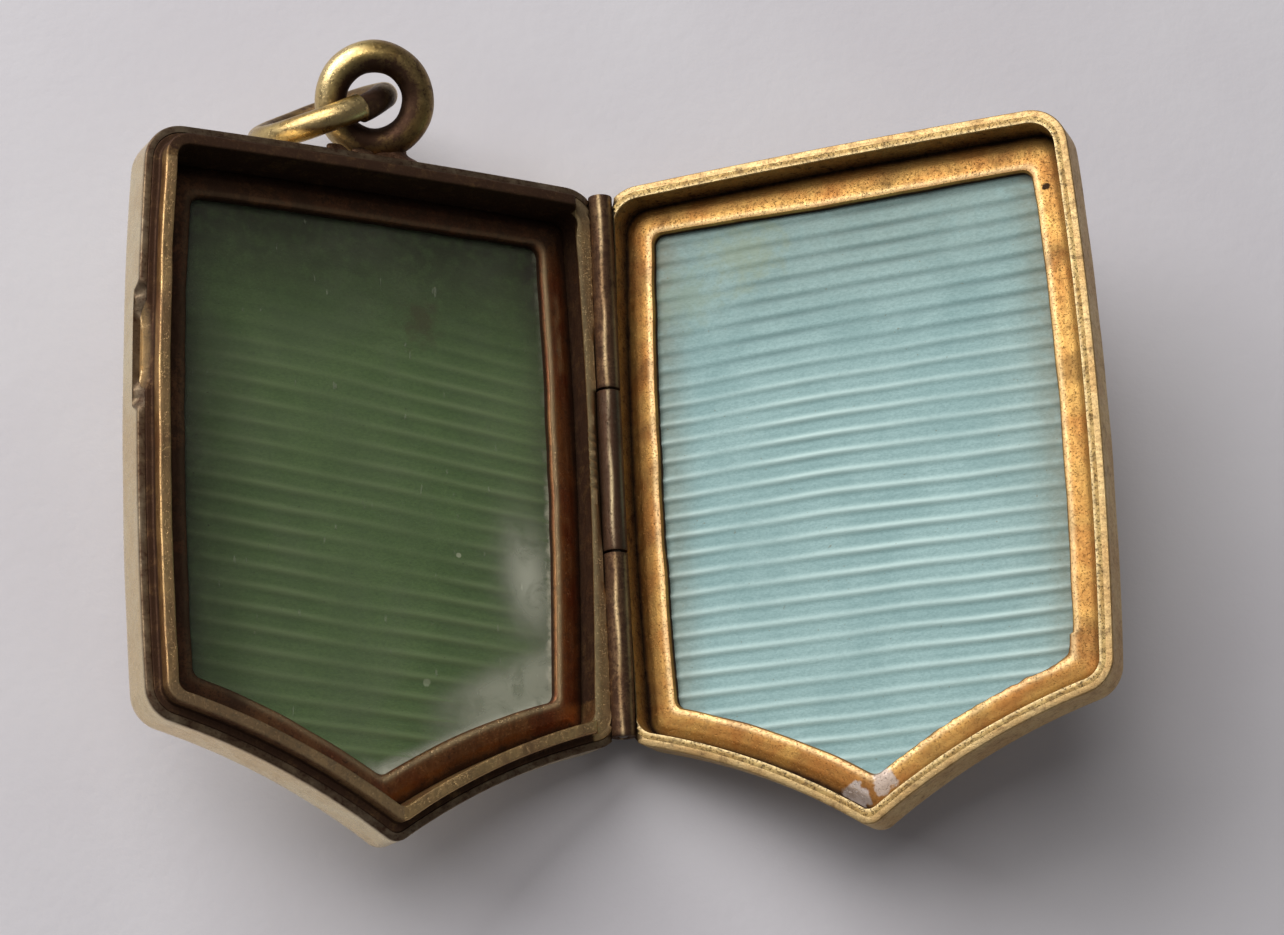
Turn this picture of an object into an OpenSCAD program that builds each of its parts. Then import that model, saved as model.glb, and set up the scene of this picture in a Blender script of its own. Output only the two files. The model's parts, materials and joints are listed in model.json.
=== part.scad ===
// Shield-shaped hinged photo locket, standing open on the hinge-side edges of its two halves.
// Millimetres. +X runs across the open locket, +Y along the hinge towards the bail, +Z up.
// The origin is on the resting surface, under the middle of the overall box.
//
// Each half is drawn in its own leaf frame and then tilted into place:
//   u runs away from the hinge axis, v along the hinge, w out of the open mouth of the half.
//   w = 0 is the closing plane, which holds the hinge axis.

/* [Case] */
// Width of one half, hinge side to opening side
case_w = 16.9; // [15:0.1:20]
// Length of the straight-sided part of one half, between its corners
side_len = 20; // [18:0.5:24]
// Length of the pointed end beyond the bottom corners
point_len = 3.8; // [3:0.1:5]
// Outside depth of one half
case_depth = 2.2; // [2:0.1:3]
// Radius that rounds the back edge of the case
edge_round = 0.9; // [0.6:0.1:1.2]
// Thickness of the outer case metal
shell_t = 0.25; // [0.2:0.05:0.35]
// Radius of the two corners at the bail end
top_corner_r = 1.4; // [1:0.1:2]
// Radius of the two corners beside the point
low_corner_r = 1.2; // [0.8:0.1:2]
// Radius of the point itself
point_r = 0.6; // [0.3:0.1:1]
// How far the opening side bows outwards
side_bow = 0.35; // [0.1:0.05:0.5]
// How far the hinge side bows outwards
hinge_bow = 0.25; // [0.1:0.05:0.25]
// How far the bail end bows outwards
top_bow = 0.1; // [0.05:0.05:0.3]
// How far each edge of the pointed end curves inwards
point_curve = 0.45; // [0.2:0.05:0.8]

/* [Bands and frames] */
// Width of the flat rim that the lip closes into
rim_w = 0.46; // [0.4:0.02:0.6]
// Side clearance between the lip and the rim
lip_gap = 0.04; // [0.02:0.01:0.1]
// Hairline gap between the two mouths when the locket is shut
mouth_gap = 0.03; // [0.02:0.01:0.06]
// Thickness of the snap lip
lip_t = 0.4; // [0.3:0.05:0.5]
// Height of the snap lip above the closing plane
lip_h = 0.6; // [0.4:0.05:0.8]
// Depth of both picture frames below the closing plane
frame_depth = 1; // [0.9:0.05:1.1]
// Thickness of a picture frame
frame_t = 0.35; // [0.25:0.05:0.4]
// Width of the picture frame in the half that carries the lip
lip_frame_w = 1.1; // [0.8:0.1:1.4]
// Width of the picture frame in the half with the flat rim
rim_frame_w = 1.1; // [0.8:0.05:1.4]
// Thickness of the clear window sheet
window_t = 0.1; // [0.08:0.01:0.12]
// Thickness of each ribbed paper insert
paper_t = 0.12; // [0.1:0.01:0.15]

/* [Hinge] */
// Angle between the two halves as the locket stands open
open_angle = 129; // [120:1:129]
// Outer radius of the hinge tube
knuckle_r = 0.43; // [0.4:0.01:0.43]
// Radius of the hinge pin
pin_r = 0.2; // [0.15:0.01:0.22]
// Running clearance around the pin in the middle knuckle
pin_clearance = 0.02; // [0.01:0.01:0.05]
// Length of the middle knuckle
middle_len = 5.8; // [5:0.1:7]
// Centre of the middle knuckle along the hinge
middle_v = -0.4; // [-1:0.1:1]
// Gap between neighbouring knuckles
knuckle_gap = 0.08; // [0.05:0.01:0.15]
// Distance from the hinge line to each end of the tube
tube_half = 9.8; // [9:0.1:9.8]

/* [Thumb notch] */
// Length of the thumbnail notch along the opening side
notch_len = 4.6; // [3:0.1:5]
// Place of the notch along the opening side
notch_v = 2.25; // [0:0.25:4]
// Depth of the notch below the closing plane
notch_depth = 0.55; // [0.3:0.05:0.7]

/* [Bail] */
// Radius of the wire of the fixed eye
eye_wire_r = 0.56; // [0.5:0.01:0.6]
// Radius of the fixed eye, to the middle of its wire
eye_r = 1.52; // [1.5:0.01:1.6]
// Height of the eye's centre above the end of the case
eye_rise = 2.25; // [2.2:0.05:2.5]
// Sideways offset of the eye, away from the hinge
eye_offset = 0.1; // [0:0.05:0.3]
// Forward lean of the eye
eye_lean = 24; // [15:1:28]
// Twist of the eye about the long axis of the half
eye_twist = 17; // [5:1:20]
// Radius of the wire of the loose jump ring
ring_wire_r = 0.46; // [0.4:0.01:0.46]
// Radius of the jump ring, to the middle of its wire
ring_r = 2.3; // [2.25:0.05:2.35]
// Direction in which the jump ring leaves the eye
ring_azimuth = -22; // [-24:1:0]
// How far the jump ring hangs down from the plane of the eye
ring_droop = 77; // [60:1:80]
// Width of the saw cut that closes the jump ring
ring_cut = 0.06; // [0.04:0.01:0.1]

/* [Hidden] */
$fn = 48;

eps = 0.01;                          // overshoot of cutting shapes
edge_steps = 9;                      // facets along each side of the outline
corner_steps = 6;                    // facets around each corner
round_steps = 7;                     // facets around the back edge
inner_corner_r = 0.4;                // smallest corner radius of any inner outline

half_w = case_w / 2;
half_len = side_len / 2;
mouth_w = -mouth_gap / 2;            // top of both cases, half a hairline below the closing plane
hinge_inset = 0.05;                  // distance from the hinge axis to the ends of the hinge side
floor_w = -(frame_depth + frame_t + window_t + paper_t + 0.2);   // inside floor of a case
lip_out = rim_w + lip_gap;           // inset of the outer face of the lip
lip_in = lip_out + lip_t;            // inset of the inner face of the lip
seat = 0.02;                         // slip clearance of the parts laid into a case
groove_r = knuckle_r + 0.055;        // hinge groove where the other half's knuckle turns

// Where the case stands on the surface
tilt = (180 - open_angle) / 2;
foot_u = hinge_inset - hinge_bow + edge_round;
axis_z = edge_round + (case_depth - edge_round) * cos(tilt) - foot_u * sin(tilt);

// Corners of the outline, anticlockwise, with their radii and the bow of the edge that follows
corners = [
    [-half_w, half_len], [-half_w, -half_len], [0, -half_len - point_len],
    [half_w, -half_len], [half_w, half_len]
];
corner_radii = [top_corner_r, low_corner_r, point_r, low_corner_r, top_corner_r];
edge_bows = [hinge_bow, -point_curve, -point_curve, side_bow, top_bow];
corner_count = len(corners);

// Circle through p and q that bows out of an anticlockwise outline, as [x, y, signed radius]
function edge_circle(p, q, bow) =
    let (
        chord = norm(q - p),
        dir = (q - p) / chord,
        radius = (chord * chord / 4 + bow * bow) / (2 * abs(bow)),
        side = sign(bow),
        centre = (p + q) / 2 + [-dir.y, dir.x] * side * (radius - abs(bow))
    )
    [centre.x, centre.y, side * radius];

edges = [
    for (i = [0:corner_count - 1])
        edge_circle(corners[i], corners[(i + 1) % corner_count], edge_bows[i])
];

// The crossing of two circles that lies nearer to a given point
function crossing(a, ra, b, rb, near) =
    let (
        gap = norm(b - a),
        e = (b - a) / gap,
        x = (gap * gap + ra * ra - rb * rb) / (2 * gap),
        y = sqrt(max(0, ra * ra - x * x)),
        p = a + e * x + [-e.y, e.x] * y,
        q = a + e * x - [-e.y, e.x] * y
    )
    norm(p - near) < norm(q - near) ? p : q;

function xy(c) = [c[0], c[1]];
function angle_of(v) = atan2(v.y, v.x);
function turn(a) = a > 180 ? a - 360 : a < -180 ? a + 360 : a;
function corner_radius(i, inset) = max(corner_radii[i] - inset, inner_corner_r);

// Centre of the rounding circle at corner i of the outline moved in by inset
function corner_centre(i, inset) =
    let (
        r = corner_radius(i, inset),
        before = edges[(i + corner_count - 1) % corner_count],
        after = edges[i]
    )
    crossing(xy(before), abs(before[2] - inset - r), xy(after), abs(after[2] - inset - r), corners[i]);

// Where the rounding of a corner touches an edge circle
function touch(edge, centre, inset) =
    let (v = centre - xy(edge))
    xy(edge) + v / norm(v) * abs(edge[2] - inset);

function arc(centre, from, to, steps) =
    let (
        start = angle_of(from - centre),
        sweep = turn(angle_of(to - centre) - start),
        radius = norm(from - centre)
    )
    [for (k = [0:steps]) centre + radius * [cos(start + sweep * k / steps), sin(start + sweep * k / steps)]];

// The overall box along Y, from the point to the top of the bail eye
eye_v = half_len + eye_rise;
eye_w = -0.3;
y_low = corner_centre(2, 0).y - point_r;
y_high = eye_v + eye_r * cos(eye_lean) + eye_wire_r;
shift_y = -(y_low + y_high) / 2;

// The shield outline moved in by inset, anticlockwise, centred on the middle of its sides
function shield(inset) = [
    for (i = [0:corner_count - 1])
        let (
            next = (i + 1) % corner_count,
            before = edges[(i + corner_count - 1) % corner_count],
            centre = corner_centre(i, inset),
            leave = touch(edges[i], centre, inset),
            arrive = touch(edges[i], corner_centre(next, inset), inset),
            along = arc(xy(edges[i]), leave, arrive, edge_steps)
        )
        each concat(
            arc(centre, touch(before, centre, inset), leave, corner_steps),
            [for (k = [1:edge_steps - 1]) along[k]]
        )
];

// The same outline in the leaf frame, where the hinge side lies at the hinge axis
function leaf_outline(inset) = [for (p = shield(inset)) p + [half_w + hinge_inset, 0]];

outline_count = corner_count * (corner_steps + edge_steps);

// Points and side faces of a skin through outlines given as [inset, w] pairs
function skin_points(profile) = [
    for (step = profile, p = leaf_outline(step[0])) [p.x, p.y, step[1]]
];
function skin_faces(levels, closed) = [
    for (k = [0:levels - (closed ? 1 : 2)], i = [0:outline_count - 1])
        let (
            a = k * outline_count,
            b = ((k + 1) % levels) * outline_count,
            j = (i + 1) % outline_count
        )
        [a + i, a + j, b + j, b + i]
];

// A solid dish: the profile runs from its inside floor, over its edge, to its back
module dish(profile) {
    levels = len(profile);
    floor_face = [for (i = [outline_count - 1:-1:0]) i];
    back_face = [for (i = [0:outline_count - 1]) (levels - 1) * outline_count + i];
    polyhedron(
        points = skin_points(profile),
        faces = concat([floor_face], skin_faces(levels, false), [back_face]),
        convexity = 4
    );
}

// A closed ring: the profile is a loop, clockwise seen with the outside of the ring to the right
module ring_skin(profile) {
    polyhedron(points = skin_points(profile), faces = skin_faces(len(profile), true), convexity = 6);
}

// A flat plate of the outline moved in by inset, between two levels
module plate(inset, low, high) {
    translate([0, 0, low])
        linear_extrude(high - low)
            polygon(leaf_outline(inset));
}

// A flat-sided wall that follows the outline between two insets
module wall(outer, inner, low, high) {
    difference() {
        plate(outer, low, high);
        plate(inner, low - 1, high + 1);
    }
}

// Leaf frame to world, for each half
module right_half() {
    translate([0, shift_y, axis_z])
        rotate([0, -tilt, 0])
            children();
}

module left_half() {
    mirror([1, 0, 0])
        right_half()
            children();
}

// A cylinder along the hinge axis, in the leaf frame
module along_hinge(radius, from_v, to_v) {
    translate([0, to_v, 0])
        rotate([90, 0, 0])
            cylinder(r = radius, h = to_v - from_v);
}

middle_low = middle_v - middle_len / 2;
middle_high = middle_v + middle_len / 2;

// Room for the knuckles in the hinge side of a half
module left_hinge_groove() {
    along_hinge(knuckle_r, -half_len - 1, half_len + 1);
    along_hinge(groove_r, middle_low - knuckle_gap, middle_high + knuckle_gap);
}

module right_hinge_groove() {
    along_hinge(groove_r, middle_high, half_len + 1);
    along_hinge(groove_r, -half_len - 1, middle_low);
    along_hinge(knuckle_r, middle_low - eps, middle_high + eps);
}

// The crescent that a thumbnail goes into, cut down to the foot of the lip
module thumb_notch() {
    bite = lip_out - seat;
    cut_r = (notch_len * notch_len / 4 + bite * bite) / (2 * bite);
    outer_u = hinge_inset + case_w + side_bow;
    translate([outer_u - bite + cut_r, notch_v, -notch_depth])
        cylinder(r = cut_r, h = notch_depth + 1, $fn = 128);
}

// The pressed outer case: floor, side wall and rounded back edge
cover_profile = concat(
    [[shell_t, floor_w], [shell_t, mouth_w], [0, mouth_w]],
    [
        for (k = [0:round_steps])
            let (a = 90 * k / round_steps)
            [edge_round * (1 - cos(a)), -(case_depth - edge_round) - edge_round * sin(a)]
    ]
);

module left_cover() {
    color("palegoldenrod")
        left_half()
            difference() {
                dish(cover_profile);
                left_hinge_groove();
                thumb_notch();
            }
}

module right_cover() {
    color("goldenrod")
        right_half()
            difference() {
                dish(cover_profile);
                right_hinge_groove();
            }
}

// The inner wall of the left half, with a shoulder and the snap lip that rises from it.
// The lip is filed away on the hinge side.
lip_start_u = 1;

module left_band() {
    color("darkgoldenrod")
        left_half()
            difference() {
                union() {
                    wall(shell_t, lip_in, floor_w, mouth_w);
                    wall(lip_out, lip_in, mouth_w - eps, lip_h);
                }
                translate([-1, -half_len - 1, mouth_w])
                    cube([1 + lip_start_u, side_len + 2, lip_h + 1]);
                left_hinge_groove();
                thumb_notch();
            }
}

// The inner wall of the right half, whose top is the flat rim
module right_band() {
    color("goldenrod")
        right_half()
            difference() {
                wall(shell_t, rim_w, floor_w, mouth_w);
                right_hinge_groove();
            }
}

// A picture frame: a strip with a raised inner edge, rounded towards the picture
function frame_profile(outer, width) = [
    [outer, -frame_depth - frame_t],
    [outer, -frame_depth - 0.28],
    [outer + width * 0.35, -frame_depth - 0.06],
    [outer + width * 0.7, -frame_depth],
    [outer + width - 0.08, -frame_depth - 0.05],
    [outer + width, -frame_depth - 0.15],
    [outer + width, -frame_depth - frame_t]
];
function reversed(list) = [for (i = [len(list) - 1:-1:0]) list[i]];

module left_frame() {
    color("peru")
        left_half()
            ring_skin(reversed(frame_profile(lip_in + seat, lip_frame_w)));
}

module right_frame() {
    color("orange")
        right_half()
            ring_skin(reversed(frame_profile(rim_w + seat, rim_frame_w)));
}

// The flat pieces that each frame holds down, from the frame to the floor of the case
window_top = -frame_depth - frame_t;
left_paper_top = window_top - window_t;

module left_window() {
    color("lightcyan")
        left_half()
            plate(lip_in + seat, left_paper_top, window_top);
}

module left_paper() {
    color("darkolivegreen")
        left_half()
            plate(lip_in + seat, left_paper_top - paper_t, left_paper_top);
}

module left_backing() {
    color("wheat")
        left_half()
            plate(lip_in + seat, floor_w, left_paper_top - paper_t);
}

module right_paper() {
    color("powderblue")
        right_half()
            plate(rim_w + seat, window_top - paper_t, window_top);
}

module right_backing() {
    color("wheat")
        right_half()
            plate(rim_w + seat, floor_w, window_top - paper_t);
}

// A length of hinge tube with its bore
module knuckle(from_v, to_v, bore_r) {
    difference() {
        along_hinge(knuckle_r, from_v, to_v);
        along_hinge(bore_r, from_v - 1, to_v + 1);
    }
}

module hinge_knuckle_top() {
    color("tan")
        left_half()
            knuckle(middle_high + knuckle_gap, tube_half, pin_r);
}

module hinge_knuckle_middle() {
    color("khaki")
        right_half()
            knuckle(middle_low, middle_high, pin_r + pin_clearance);
}

module hinge_knuckle_bottom() {
    color("tan")
        left_half()
            knuckle(-tube_half, middle_low - knuckle_gap, pin_r);
}

module hinge_pin() {
    color("dimgray")
        left_half()
            along_hinge(pin_r, -tube_half, tube_half);
}

// Leaf frame to the frame of the bail eye, whose axis is its local Z
module at_eye() {
    translate([half_w + hinge_inset + eye_offset, eye_v, eye_w])
        rotate([0, eye_twist, 0])
            rotate([eye_lean, 0, 0])
                children();
}

module torus(radius, wire_r) {
    rotate_extrude($fn = 96)
        translate([radius, 0])
            circle(r = wire_r);
}

module bail_eye() {
    color("darkgoldenrod")
        left_half()
            at_eye()
                torus(eye_r, eye_wire_r);
}

// The solder that joins the lower side of the eye to the end of the case
solder_foot = [half_w - 0.6, half_len + top_bow - 0.12, -0.75];
solder_head = [half_w - 0.45, half_len + 0.75, -0.8];

module bail_solder() {
    color("sienna")
        left_half()
            difference() {
                hull() {
                    translate(solder_foot)
                        sphere(r = 0.62, $fn = 32);
                    translate(solder_head)
                        sphere(r = 0.42, $fn = 32);
                }
                plate(0, -case_depth, 0);
                at_eye()
                    torus(eye_r, eye_wire_r);
            }
}

// The jump ring hangs from the outer limb of the eye
ring_slack = 0.08;                   // clearance between the two wires where the ring hangs
ring_hang = ring_r - ring_wire_r - eye_wire_r - ring_slack;
cut_angle = 197;                     // place of the saw cut round the ring

module jump_ring() {
    color("gold")
        left_half()
            at_eye()
                rotate([0, 0, ring_azimuth])
                    translate([eye_r, 0, 0])
                        rotate([0, ring_droop, 0])
                            translate([ring_hang, 0, 0])
                                rotate([90, 0, 0])
                                    difference() {
                                        torus(ring_r, ring_wire_r);
                                        rotate([0, 0, cut_angle])
                                            translate([ring_r, 0, 0])
                                                cube([2, ring_cut, 2], center = true);
                                    }
}

left_cover();
left_band();
left_backing();
left_paper();
left_window();
left_frame();
right_cover();
right_band();
right_backing();
right_paper();
right_frame();
hinge_knuckle_top();
hinge_knuckle_middle();
hinge_knuckle_bottom();
hinge_pin();
bail_eye();
bail_solder();
jump_ring();
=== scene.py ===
"""Looks of the shield-shaped photo locket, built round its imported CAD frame.

Each half is modelled in its own leaf frame, in millimetres: u runs away from the hinge axis,
v along the hinge towards the bail, and w out of the open mouth, with w = 0 on the closing plane.
"""

import json
import math

import bmesh
import bpy
import numpy as np
from mathutils import Matrix, Vector


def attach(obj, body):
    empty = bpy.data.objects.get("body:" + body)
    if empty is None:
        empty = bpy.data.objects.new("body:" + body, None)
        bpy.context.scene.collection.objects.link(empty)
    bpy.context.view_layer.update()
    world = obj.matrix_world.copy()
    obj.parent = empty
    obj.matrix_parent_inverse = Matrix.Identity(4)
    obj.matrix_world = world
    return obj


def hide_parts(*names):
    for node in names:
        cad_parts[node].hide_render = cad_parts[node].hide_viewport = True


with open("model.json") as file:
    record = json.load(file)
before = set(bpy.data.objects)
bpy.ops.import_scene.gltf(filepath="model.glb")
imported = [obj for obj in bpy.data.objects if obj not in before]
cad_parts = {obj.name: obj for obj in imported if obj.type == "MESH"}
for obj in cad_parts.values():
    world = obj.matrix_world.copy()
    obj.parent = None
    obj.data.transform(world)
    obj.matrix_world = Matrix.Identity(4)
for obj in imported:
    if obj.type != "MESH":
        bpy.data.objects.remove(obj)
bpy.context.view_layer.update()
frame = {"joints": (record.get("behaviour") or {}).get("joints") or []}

MM = 0.001
FULL_TURN = 2 * math.pi
HINGE_JOINT = next(j for j in frame["joints"] if j["name"] == "locket_hinge")
HINGE = Vector(HINGE_JOINT["pos_m"])
OPEN_ANGLE = HINGE_JOINT["range_deg"][1]
TILT = math.radians((180 - OPEN_ANGLE) / 2)
LEFT, RIGHT = -1, 1
BODY = {LEFT: "left_half", RIGHT: "right_half"}
PREFIX = {LEFT: "left", RIGHT: "right"}

# Case, in millimetres, as in the CAD. Widths of walls and strips are insets from the outline.
HALF_W = 8.45
HALF_LEN = 10.0
POINT_LEN = 3.8
HINGE_INSET = 0.05
CORNER_RADII = (1.4, 1.2, 0.6, 1.2, 1.4)
EDGE_BOWS = (0.25, -0.45, -0.45, 0.35, 0.1)
INNER_CORNER_R = 0.4
CASE_DEPTH = 2.2
EDGE_ROUND = 0.9
SHELL_T = 0.25
FLOOR_W = -1.77
MOUTH_W = -0.015
RIM_W = 0.46
LIP_OUT = 0.50
LIP_IN = 0.90
LIP_H = 0.60
FRAME_W = 1.10
FRAME_DEPTH = 1.0
FRAME_T = 0.35
SEAT = 0.02
SEAM = {LEFT: LIP_IN + SEAT, RIGHT: RIM_W + SEAT}
WINDOW_TOP = -FRAME_DEPTH - FRAME_T
WINDOW_T = 0.10
PAPER_T = 0.12
PAPER_TOP = {LEFT: WINDOW_TOP - WINDOW_T, RIGHT: WINDOW_TOP}

# Handwork and wear: the filed strip beside the hinge, the right frame's top strip, dents in the cases
STRIP_BULGE = 0.13
FILE_MARK_PITCH = 0.33
EXTRA_TOP_W = 0.2
DENT = 0.012

# Hinge: MIDDLE is where the right half's knuckle starts and ends along the axis
KNUCKLE_R = 0.43
GROOVE_R = 0.485
PIN_R = 0.20
MIDDLE = (-3.30, 2.50)
KNUCKLE_GAP = 0.08
TUBE_HALF = 9.8

# Thumb notch on the opening side of the left half
NOTCH_V = 2.25
NOTCH_LEN = 4.6
NOTCH_DEPTH = 0.55

# Bail eye, standing on the end of the left half, and the jump ring that hangs in it
EYE_CENTRE = Vector((HALF_W + HINGE_INSET + 0.1, HALF_LEN + 2.25, -0.3))
EYE_R = 1.52
EYE_WIRE_R = 0.56
EYE_LEAN = math.radians(24)
EYE_TWIST = math.radians(17)
RING_R = 2.3
RING_WIRE_R = 0.46
RING_AZIMUTH = math.radians(-22)
RING_DROOP = math.radians(77)
RING_HANG = RING_R - RING_WIRE_R - EYE_WIRE_R - 0.08
RING_CUT = math.radians(197)
RING_CUT_W = 0.06


# ---------------------------------------------------------------- outline of a half

def edge_circle(p, q, bow):
    """Centre and signed radius of the circle through p and q that bows out by bow."""
    chord = np.linalg.norm(q - p)
    along = (q - p) / chord
    radius = (chord ** 2 / 4 + bow * bow) / (2 * abs(bow))
    side = math.copysign(1, bow)
    centre = (p + q) / 2 + np.array([-along[1], along[0]]) * side * (radius - abs(bow))
    return centre, side * radius


def crossing(a, ra, b, rb, near):
    """The crossing of two circles that lies nearer to a point."""
    gap = np.linalg.norm(b - a)
    e = (b - a) / gap
    x = (gap * gap + ra * ra - rb * rb) / (2 * gap)
    y = math.sqrt(max(0.0, ra * ra - x * x))
    n = np.array([-e[1], e[0]])
    both = a + e * x + n * y, a + e * x - n * y
    return min(both, key=lambda p: np.linalg.norm(p - near))


def arc(centre, start, end, steps):
    """Points along the short arc from start to end, both ends included."""
    a0 = math.atan2(start[1] - centre[1], start[0] - centre[0])
    a1 = math.atan2(end[1] - centre[1], end[0] - centre[0])
    sweep = (a1 - a0 + math.pi) % FULL_TURN - math.pi
    t = a0 + sweep * np.linspace(0, 1, steps + 1)
    return centre + np.linalg.norm(start - centre) * np.stack([np.cos(t), np.sin(t)], 1)


CORNERS = np.array([
    (-HALF_W, HALF_LEN), (-HALF_W, -HALF_LEN), (0, -HALF_LEN - POINT_LEN),
    (HALF_W, -HALF_LEN), (HALF_W, HALF_LEN),
], float)
COUNT = len(CORNERS)
EDGES = [edge_circle(CORNERS[i], CORNERS[(i + 1) % COUNT], EDGE_BOWS[i]) for i in range(COUNT)]
EDGE_STEPS = (180, 80, 80, 180, 140)
CORNER_STEPS = 14


def corner_centre(i, inset):
    """Centre of the rounding of corner i on the outline moved in by inset."""
    r = max(CORNER_RADII[i] - inset, INNER_CORNER_R)
    (before, r0), (after, r1) = EDGES[i - 1], EDGES[i]
    return crossing(before, abs(r0 - inset - r), after, abs(r1 - inset - r), CORNERS[i])


def touch(edge, centre, inset):
    """Where a corner's rounding meets one of its edges."""
    v = centre - edge[0]
    return edge[0] + v / np.linalg.norm(v) * abs(edge[1] - inset)


def outline(inset):
    """The shield outline moved in by inset, anticlockwise, as (u, v) points."""
    points = []
    for i in range(COUNT):
        centre = corner_centre(i, inset)
        leave = touch(EDGES[i], centre, inset)
        arrive = touch(EDGES[i], corner_centre((i + 1) % COUNT, inset), inset)
        points.append(arc(centre, touch(EDGES[i - 1], centre, inset), leave, CORNER_STEPS))
        points.append(arc(EDGES[i][0], leave, arrive, EDGE_STEPS[i])[1:-1])
    return np.concatenate(points) + [HALF_W + HINGE_INSET, 0]


def smooth(x, low, high):
    """Smooth step from 0 at low to 1 at high."""
    t = np.clip((x - low) / (high - low), 0, 1)
    return t * t * (3 - 2 * t)


def ripple(x, y, seed, scale):
    """Gentle, repeatable unevenness between about -1 and 1, with features about scale across."""
    draw = np.random.default_rng(seed)
    total = np.zeros_like(x)
    for _ in range(7):
        angle, phase = draw.uniform(0, FULL_TURN, 2)
        wave = draw.uniform(0.6, 1.7) * FULL_TURN / scale
        total += np.sin((x * math.cos(angle) + y * math.sin(angle)) * wave + phase)
    return total / 3.5


# ---------------------------------------------------------------- meshes

def half_matrix(side):
    """Leaf frame, with x = side * u, to the row frame."""
    return Matrix.Translation(HINGE) @ Matrix.Rotation(-side * TILT, 4, "Y")


def add_piece(name, verts, faces, matrix, body, material, stands_for, masks=None, sharp=40):
    """Makes one visible piece from vertices in millimetres, and hangs it on its CAD body.
    Faces are turned outwards here. masks are values for each vertex that the materials read."""
    mesh = bpy.data.meshes.new(name)
    mesh.from_pydata((np.asarray(verts) * MM).tolist(), [], faces)
    mesh.validate()
    shape = bmesh.new()
    shape.from_mesh(mesh)
    bmesh.ops.recalc_face_normals(shape, faces=shape.faces)
    shape.to_mesh(mesh)
    shape.free()
    for key, values in (masks or {}).items():
        attribute = mesh.attributes.new(key, "FLOAT", "POINT")
        attribute.data.foreach_set("value", np.asarray(values, np.float32))
    mesh.polygons.foreach_set("use_smooth", [True] * len(mesh.polygons))
    mesh.set_sharp_from_angle(angle=math.radians(sharp))
    mesh.materials.append(material)
    piece = bpy.data.objects.new(name, mesh)
    bpy.context.scene.collection.objects.link(piece)
    piece.matrix_world = matrix
    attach(piece, body)
    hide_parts(*stands_for)
    return piece


def skin(levels, count, closed):
    """Quads between consecutive rings of count points; the ends are capped unless closed."""
    last = levels if closed else levels - 1
    faces = []
    for k in range(last):
        a, b = k * count, (k + 1) % levels * count
        for i in range(count):
            j = (i + 1) % count
            faces.append((a + i, a + j, b + j, b + i))
    if not closed:
        faces.append(tuple(range(count))[::-1])
        faces.append(tuple(range((levels - 1) * count, levels * count)))
    return faces


def loft(profile):
    """Leaf-frame vertices of a skin through outlines given as (inset, w), and each one's inset,
    with the number of outlines and of points in each."""
    rings = []
    for inset, w in profile:
        ring = outline(inset)
        rings.append(np.column_stack([ring, np.full(len(ring), w)]))
    count = len(rings[0])
    return np.concatenate(rings), np.repeat([inset for inset, w in profile], count), len(rings), count


def on_side(points, side):
    """Leaf-frame points with u turned to the side the half lies on."""
    return points * [side, 1, 1]


def rounded(points, radius, steps):
    """A closed profile with its corners rounded by a small radius."""
    out = []
    for i in range(len(points)):
        p, before, after = (np.array(points[k % len(points)], float) for k in (i, i - 1, i + 1))
        back, ahead = np.linalg.norm(before - p), np.linalg.norm(after - p)
        r = min(radius, back * 0.45, ahead * 0.45)
        start, end = p + (before - p) / back * r, p + (after - p) / ahead * r
        for t in np.linspace(0, 1, steps):
            out.append((1 - t) ** 2 * start + 2 * t * (1 - t) * p + t * t * end)
    return out


def split_long(profile, longest):
    """Adds points to a closed profile so that no stretch is longer than the given length."""
    out = []
    for i, start in enumerate(profile):
        a, b = np.array(start, float), np.array(profile[(i + 1) % len(profile)], float)
        steps = max(1, math.ceil(np.linalg.norm(b - a) / longest))
        out += [a + (b - a) * t for t in np.arange(steps) / steps]
    return out


def knuckle_room(v, side):
    """Radius of the hinge groove at v: wider where the other half's knuckle turns."""
    middle = (v > MIDDLE[0] - KNUCKLE_GAP / 2) & (v < MIDDLE[1] + KNUCKLE_GAP / 2)
    own = middle if side == RIGHT else ~middle
    return np.where(own, KNUCKLE_R, GROOVE_R)


def carve_groove(p, side):
    """Lowers what lies inside the hinge groove onto the groove's wall."""
    room = knuckle_room(p[:, 1], side)
    inside = (p[:, 0] ** 2 + p[:, 2] ** 2 < room ** 2) & (np.abs(p[:, 1]) < HALF_LEN + 0.6)
    p[inside, 2] = -np.sqrt(room[inside] ** 2 - p[inside, 0] ** 2)
    return inside


def carve_notch(p):
    """Presses the thumb notch into the opening side, with a soft edge."""
    bite = LIP_OUT - SEAT
    radius = (NOTCH_LEN ** 2 / 4 + bite * bite) / (2 * bite)
    axis_u = HINGE_INSET + 2 * HALF_W + EDGE_BOWS[3] - bite + radius
    depth = radius - np.hypot(p[:, 0] - axis_u, p[:, 1] - NOTCH_V)
    sink = smooth(depth, -0.02, 0.10) * (p[:, 2] > -NOTCH_DEPTH) * (p[:, 2] < 0.05)
    p[:, 2] = p[:, 2] * (1 - sink) - NOTCH_DEPTH * sink
    return sink


# ---------------------------------------------------------------- materials

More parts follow.
